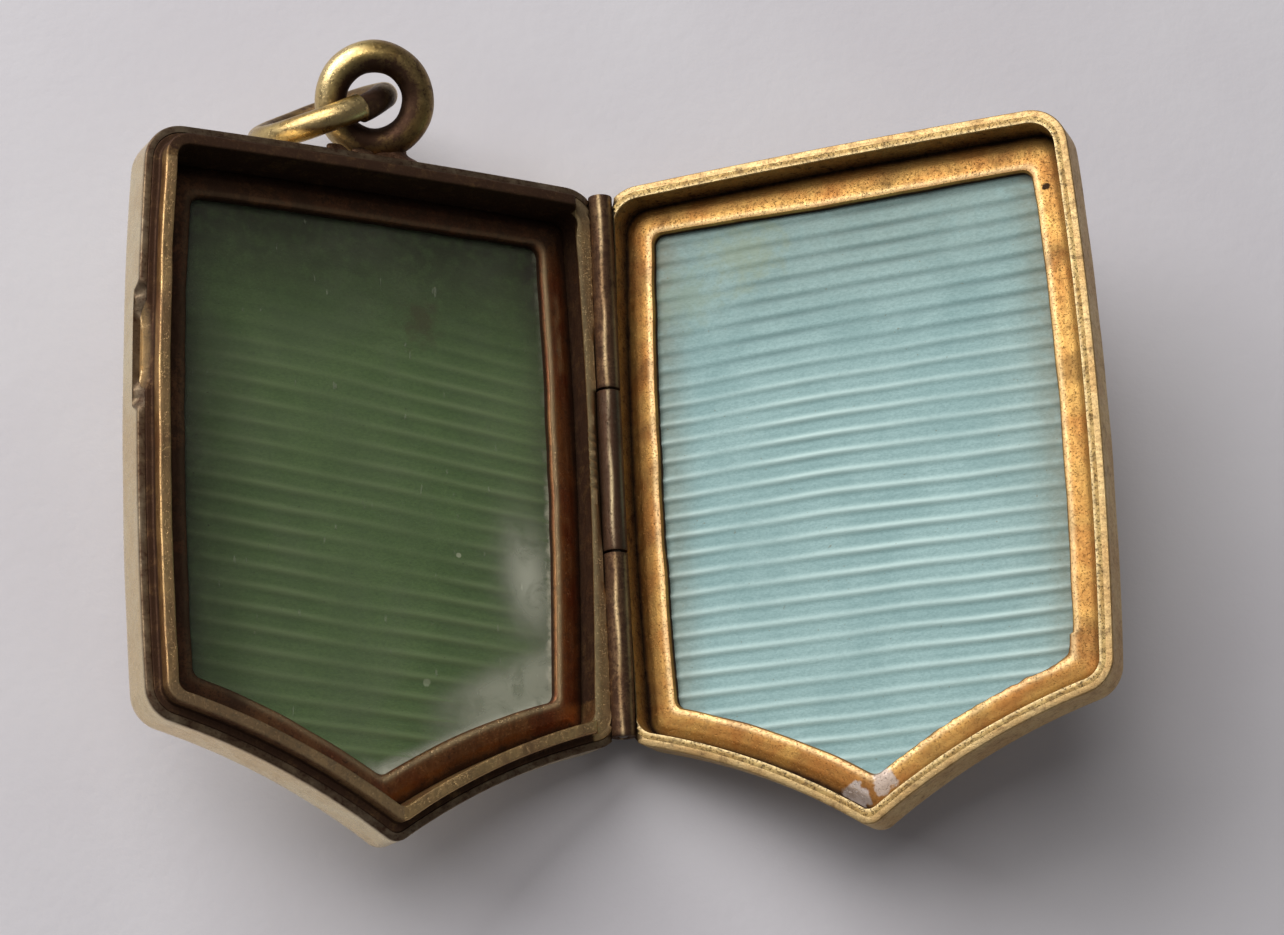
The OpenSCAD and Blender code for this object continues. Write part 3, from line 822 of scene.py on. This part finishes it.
def build_pin():
    """The pin, with its ends slightly peened in their tubes."""
    r, end = PIN_R, TUBE_HALF
    half = [(0.0005, end - 0.02), (r * 0.7, end - 0.01), (r - 0.001, end - 0.06)]
    profile = [(radius, -y) for radius, y in half] + half[::-1]
    lathe("hinge_pin_rod", profile, Matrix.Translation(HINGE), BODY[LEFT], MAT["pin"],
          ["hinge_pin"], lambda p: {"grime_and_shade": np.full(len(p), 0.5)}, 32)


def wire_ring(radius, wire, start, end, around=180, section=28):
    """A ring of wire in the local XY plane, open between end and start, with flat cut ends."""
    closed = abs(end - start - FULL_TURN) < 1e-6
    angle = np.linspace(start, end, around, endpoint=not closed)
    turn = np.linspace(0, FULL_TURN, section, endpoint=False)
    rings = []
    for k, a in enumerate(angle):
        thin = 1 - 0.012 * math.sin(3 * a + 0.6) - 0.01 * math.sin(7 * a)
        size = wire * thin
        rho = radius + size * np.cos(turn)
        rings.append(np.column_stack([rho * math.cos(a), rho * math.sin(a), size * np.sin(turn)]))
        if not closed and k in (0, around - 1):
            step = 0.04 / radius * (1 if k == 0 else -1)
            small = size * 0.93
            bevel = radius + small * np.cos(turn)
            rim = [bevel * math.cos(a - step), bevel * math.sin(a - step), small * np.sin(turn)]
            rings.insert(0 if k == 0 else len(rings), np.column_stack(rim))
    return np.concatenate(rings), skin(len(rings), section, closed)


def eye_matrix():
    """Frame of the bail eye, in millimetres, whose axis is its local Z. It is mirrored in x."""
    turn = Matrix.Rotation(EYE_TWIST, 4, "Y") @ Matrix.Rotation(EYE_LEAN, 4, "X")
    return Matrix.Translation(EYE_CENTRE) @ turn


def through(matrix, p):
    """Applies a millimetre matrix in leaf coordinates, then mirrors to the left half."""
    m = np.array(matrix)
    return (p @ m[:3, :3].T + m[:3, 3]) * [-1, 1, 1]


def build_eye():
    """The ring of thick wire on the end of the case, with painted shade inside it and on its hinge side,
    dirt and painted shade at its foot, and a painted highlight on its outer edge.
    """
    p, faces = wire_ring(EYE_R, EYE_WIRE_R, 0, FULL_TURN)
    rho = np.hypot(p[:, 0], p[:, 1])
    inner = smooth(-rho, -(EYE_R + 0.12), -(EYE_R - 0.28))
    foot = smooth(-p[:, 1], 0.6, 1.7)
    hinge_side_shade = smooth(-p[:, 0] + 0.5 * p[:, 1], 0.2, 1.9)
    # Painted shade inside and on the hinge side, dirt and painted shade at the foot, and a painted highlight
    # on the outer edge.
    masks = {"grime_and_shade": np.clip(inner + 0.9 * foot + 0.6 * hinge_side_shade, 0, 1),
             "wear_and_highlight": 0.35 * smooth(rho, EYE_R + 0.05, EYE_R + 0.3) * smooth(p[:, 0], 0.2, 1.2)}
    add_piece("bail_eye_wire", through(eye_matrix(), p), faces, half_matrix(LEFT), BODY[LEFT], MAT["bail"],
              ["bail_eye"], masks)


def build_ring():
    """The jump ring, saw-cut, its two ends a little out of line."""
    gap = RING_CUT_W / 2 / RING_R
    p, faces = wire_ring(RING_R, RING_WIRE_R, RING_CUT + gap, RING_CUT + FULL_TURN - gap)
    angle = (np.arctan2(p[:, 1], p[:, 0]) - RING_CUT) % FULL_TURN
    end = smooth(-angle, -0.7, 0.0)
    p[:, 2] += 0.10 * end
    p[:, 0] -= 0.05 * end * math.cos(RING_CUT)
    rho = np.hypot(p[:, 0], p[:, 1])
    second = smooth(-angle, -0.9, -0.7)
    inner = smooth(-rho, -(RING_R + 0.1), -(RING_R - 0.25))
    masks = {"grime_and_shade": np.clip(0.7 * second + 0.6 * end + 0.8 * inner, 0, 1),
             "wear_and_highlight": 0.25 * smooth(rho, RING_R + 0.2, RING_R + 0.45) * (1 - second)}
    place = eye_matrix() @ Matrix.Rotation(RING_AZIMUTH, 4, "Z") @ Matrix.Translation((EYE_R, 0, 0)) \
        @ Matrix.Rotation(RING_DROOP, 4, "Y") @ Matrix.Translation((RING_HANG, 0, 0)) \
        @ Matrix.Rotation(math.pi / 2, 4, "X")
    add_piece("jump_ring_wire", through(place, p), faces, half_matrix(LEFT), "jump_ring", MAT["bail"],
              ["jump_ring"], masks)


# Lumps of solder at the eye's foot: u, height above the case, radius of the head, extra at the foot
SOLDER_LUMPS = ((7.70, 1.05, 0.60, 0.55), (8.75, 0.50, 0.50, 0.35), (9.75, 0.55, 0.40, 0.30))
SOLDER_W = -0.72


def build_solder():
    """Lumpy solder between the eye and the end of the case."""
    steps, section = 26, 40
    turn = np.linspace(0, FULL_TURN, section, endpoint=False)
    points, faces = [], []
    for number, (u, height, head, flare) in enumerate(SOLDER_LUMPS):
        rings = []
        for t in np.linspace(0, 1, steps):
            spread = (head + flare * (1 - smooth(t, 0.0, 0.5))) * math.sqrt(max(0.02, 1 - t ** 6))
            lump = 1 + 0.07 * np.sin(3 * turn + 5 * t + number) + 0.05 * np.sin(7 * turn - 9 * t)
            rings.append(np.column_stack([u + 0.2 * t + spread * lump * np.cos(turn),
                                          np.full(section, HALF_LEN + 0.02 + height * t),
                                          SOLDER_W + spread * 0.5 * lump * np.sin(turn)]))
        start = number * steps * section
        faces += [tuple(start + i for i in face) for face in skin(steps, section, False)]
        points += rings
    p = np.concatenate(points)
    masks = {"grime_and_shade": np.clip(0.45 + 0.4 * ripple(p[:, 0], p[:, 1], 77, 0.9), 0, 1)}
    add_piece("bail_solder_fillet", p * [-1, 1, 1], faces, half_matrix(LEFT), BODY[LEFT], MAT["solder"],
              ["bail_solder"], masks, 70)


# ---------------------------------------------------------------- all the pieces

for half in (LEFT, RIGHT):
    build_cover(half)
    build_frame(half)
build_left_band()
build_right_band()

build_sheet("left_window_sheet", LEFT, WINDOW_TOP, WINDOW_T, window_relief, MAT["sheet"],
            ["left_window"], rows=240, columns=160)
RIBS = {
    LEFT: ribs(pitch=0.70, slant=-0.095, height=0.034, narrow=3, shaded=4, fade=0.75, dust_and_shade=0.9, seed=81),
    RIGHT: ribs(pitch=0.693, slant=0, height=0.055, narrow=4, shaded=2.6, fade=0, dust_and_shade=0.3, seed=91),
}
PAPER_COLOUR = {LEFT: "green", RIGHT: "blue"}
for half, colour in PAPER_COLOUR.items():
    card_top = PAPER_TOP[half] - PAPER_T
    build_sheet(PREFIX[half] + "_ribbed_paper", half, PAPER_TOP[half], PAPER_T, RIBS[half], MAT[colour],
                [PREFIX[half] + "_paper"], rows=480, columns=64)
    build_sheet(PREFIX[half] + "_backing_card", half, card_top, card_top - FLOOR_W, flat, MAT["card"],
                [PREFIX[half] + "_backing"], rows=60, columns=40)

build_knuckle("hinge_knuckle_top", MIDDLE[1] + KNUCKLE_GAP, TUBE_HALF, PIN_R, BODY[LEFT], "hinge")
build_knuckle("hinge_knuckle_middle", MIDDLE[0], MIDDLE[1], PIN_R + 0.02, BODY[RIGHT], "hinge_dark")
build_knuckle("hinge_knuckle_bottom", -TUBE_HALF, MIDDLE[0] - KNUCKLE_GAP, PIN_R, BODY[LEFT], "hinge")
build_pin()
build_eye()
build_ring()
build_solder()


# ---------------------------------------------------------------- camera, floor and light

# The camera turns about the hinge: angles, then distance and shifts in millimetres
CAMERA_TILT = math.radians(16.389)
CAMERA_ROLL = math.radians(2.699)
CAMERA_PAN = math.radians(-4.188)
CAMERA_DISTANCE = 105.52
CAMERA_AIM = Vector((1.056, 0, 0))
CAMERA_SLIDE = Vector((0, -0.246, 0))
SENSOR = 36
FOCAL = 85.00514
FLOOR_HALF = 0.4
FLOOR_DROP = 0.00002


def add_camera():
    """Looks down at the open locket, tilted and turned by a few degrees."""
    turn = Matrix.Rotation(CAMERA_ROLL, 3, "Z") @ Matrix.Rotation(-CAMERA_TILT, 3, "X") \
        @ Matrix.Rotation(-CAMERA_PAN, 3, "Y")
    back = turn.transposed()
    data = bpy.data.cameras.new("camera")
    data.sensor_width = SENSOR
    data.lens = FOCAL
    data.clip_start = 0.005
    camera = bpy.data.objects.new("camera", data)
    bpy.context.scene.collection.objects.link(camera)
    place = back @ (CAMERA_AIM + Vector((0, 0, CAMERA_DISTANCE))) + CAMERA_SLIDE
    camera.matrix_world = Matrix.Translation(place * MM + HINGE) @ back.to_4x4()
    bpy.context.scene.camera = camera


def add_floor():
    """A large sheet of white paper with faint fibres."""
    ends = (-FLOOR_HALF, FLOOR_HALF)
    mesh = bpy.data.meshes.new("floor")
    mesh.from_pydata([(x, y, -FLOOR_DROP) for y in ends for x in ends], [], [(0, 1, 3, 2)])
    n = Nodes("floor_paper")
    fibre = n.noise(1.6, 6, 0.6)
    broad = n.noise(0.08, 3, 0.5)
    colour = n.blend(n.ramp(broad, 0.3, 0.7), (0.60, 0.585, 0.60), (0.64, 0.63, 0.64))
    n.set(Base_Color=colour, Roughness=0.85, Normal=n.bump(fibre, 0.08, 0.25), Specular_IOR_Level=0.2)
    mesh.materials.append(n.material)
    floor = bpy.data.objects.new("floor", mesh)
    bpy.context.scene.collection.objects.link(floor)


def add_light(name, direction, distance, size, power, colour):
    """A soft rectangular light, aimed at the middle of the locket."""
    data = bpy.data.lights.new(name, "AREA")
    data.shape = "RECTANGLE"
    data.size, data.size_y = size
    data.energy = power
    data.color = colour
    light = bpy.data.objects.new(name, data)
    place = Vector(direction).normalized() * distance
    light.location = place
    light.rotation_euler = place.to_track_quat("Z", "Y").to_euler()
    bpy.context.scene.collection.objects.link(light)


def add_world(colour, strength):
    """Even light from the rest of the room."""
    world = bpy.data.worlds.new("room")
    world.use_nodes = True
    background = world.node_tree.nodes["Background"]
    background.inputs["Color"].default_value = (*colour, 1)
    background.inputs["Strength"].default_value = strength
    bpy.context.scene.world = world


add_camera()
add_floor()
add_light("window", direction=(-0.55, 0.56, 0.62), distance=0.32, size=(0.30, 0.24), power=1.12,
          colour=(1.0, 0.98, 1.0))
add_light("ceiling", direction=(-0.1, 0.25, 1.0), distance=0.35, size=(0.16, 0.16), power=0.28,
          colour=(1.0, 0.96, 0.95))
add_world(colour=(0.80, 0.80, 0.86), strength=0.17)
bpy.context.scene.view_settings.view_transform = "Standard"
